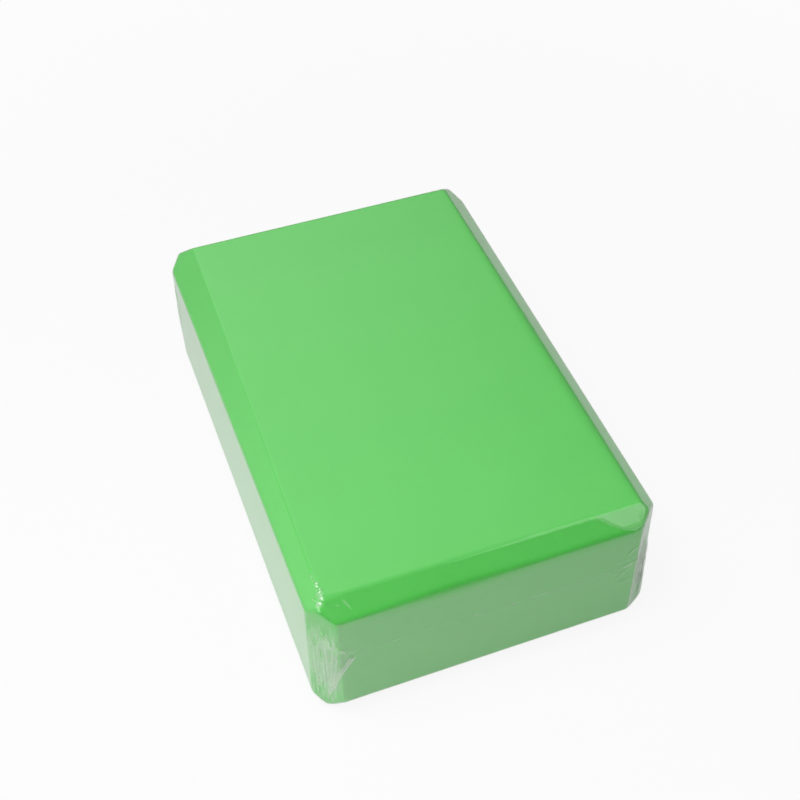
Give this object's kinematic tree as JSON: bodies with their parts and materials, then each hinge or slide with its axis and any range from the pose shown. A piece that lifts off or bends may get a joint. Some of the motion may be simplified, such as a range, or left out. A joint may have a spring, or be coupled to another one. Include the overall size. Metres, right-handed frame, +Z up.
{
  "type": "yoga block",
  "caption": "Rectangular foam yoga block with all edges bevelled, wrapped in clear shrink film with a trim seal and gathered corners; supports hands or body in floor exercise.",
  "frame": {"origin": "middle of the flat underside, on the surface that the block lies on", "axes": "+Z up, +Y along the length away from the near short end, +X to the right across the width"},
  "size_m": [0.1504, 0.2308, 0.0751],
  "materials": {
    "eva_foam": "matt closed-cell foam, smooth cut skin",
    "shrink_film": "clear gloss film",
    "film_weld": "clear film melted to a whitish bead"
  },
  "bodies": {
    "root": {"foam_block": "eva_foam", "upper_film": "shrink_film", "lower_film": "shrink_film", "front_weld": "film_weld", "rear_weld": "film_weld", "side_weld": "film_weld", "front_left_ear": "shrink_film", "front_right_ear": "shrink_film", "rear_left_ear": "shrink_film", "rear_right_ear": "shrink_film"}
  },
  "joints": []
}
